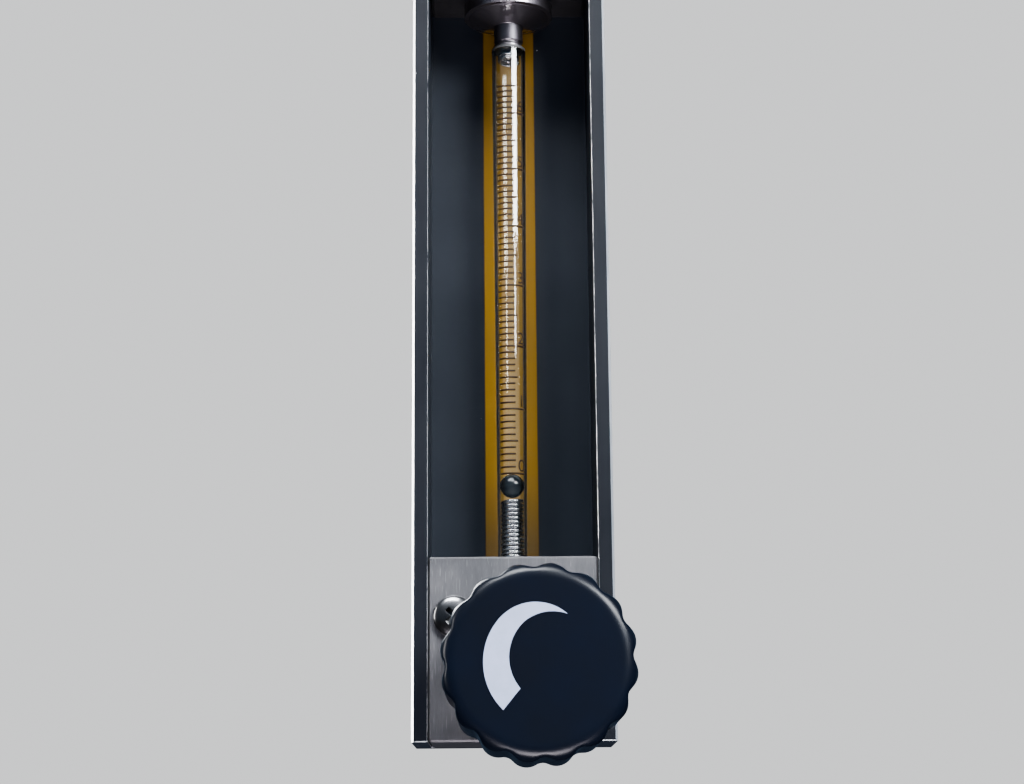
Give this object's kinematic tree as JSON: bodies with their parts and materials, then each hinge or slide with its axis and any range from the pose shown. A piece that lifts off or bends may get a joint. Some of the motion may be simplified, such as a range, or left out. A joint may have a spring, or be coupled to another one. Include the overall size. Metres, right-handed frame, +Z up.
{
  "type": "panel gas flowmeter",
  "caption": "Glass tube flowmeter with ball float and numbered scale in a black channel, needle valve and lobed knob below",
  "frame": {"origin": "where the glass tube's axis meets the base plane of the channel and lower block", "axes": "+Z up along the tube, -Y out of the open front towards the knob, +Y out of the back along the ports"},
  "size_m": [0.0315, 0.0611, 0.1507],
  "materials": {
    "black_anodised": "satin black anodised aluminium",
    "amber_backing": "matt amber strip",
    "block_steel": "machined faces with fine brush lines",
    "tube_glass": "clear glass, polished",
    "float_glass": "polished black ball",
    "spring_wire": "bright drawn wire",
    "turned_steel": "fine turned finish",
    "seal_rubber": "black seal rubber",
    "seat_plastic": "white seat plastic",
    "knob_plastic": "moulded, fine satin texture",
    "insert_brass": "machined brass",
    "set_screw_steel": "blackened steel",
    "crescent_white": "flat white inlay",
    "screw_steel": "plated steel",
    "nut_steel": "machined steel"
  },
  "bodies": {
    "meter": {"housing_channel": "black_anodised", "scale_backing": "amber_backing", "lower_block": "block_steel", "upper_block": "block_steel", "glass_tube": "tube_glass", "lower_float_stop": "spring_wire", "upper_float_stop": "spring_wire", "lower_tube_gasket": "seal_rubber", "upper_tube_gasket": "seal_rubber", "tube_adapter": "turned_steel", "adapter_o_ring": "seal_rubber", "valve_seat": "seat_plastic", "valve_bonnet": "turned_steel", "bonnet_o_ring": "seal_rubber", "block_screws": "screw_steel", "inlet_adapter": "turned_steel", "outlet_adapter": "turned_steel", "port_o_rings": "seal_rubber", "panel_nuts": "nut_steel"},
    "float": {"float_ball": "float_glass"},
    "stem_seal": {"stem_o_ring": "seal_rubber"},
    "valve_spindle": {"valve_stem": "turned_steel", "knob": "knob_plastic", "knob_insert": "insert_brass", "knob_set_screw": "set_screw_steel", "knob_crescent": "crescent_white"}
  },
  "joints": [
    {"name": "float_rise", "type": "slide", "parent": "meter", "child": "float", "axis": [0, 0, 1], "range_m": [0, 0.0667]},
    {"name": "valve_travel", "type": "slide", "parent": "meter", "child": "stem_seal", "axis": [0, -1, 0], "range_m": [0, 0.002]},
    {"name": "valve_turn", "type": "hinge", "parent": "stem_seal", "child": "valve_spindle", "pos_m": [0.0032, -0.009, 0.0091], "axis": [0, -1, 0], "range_deg": [0, 1440]}
  ],
  "couplings": [
    {"joint": "valve_travel", "follows": "valve_turn", "m_per_rad": 0.0000795}
  ]
}
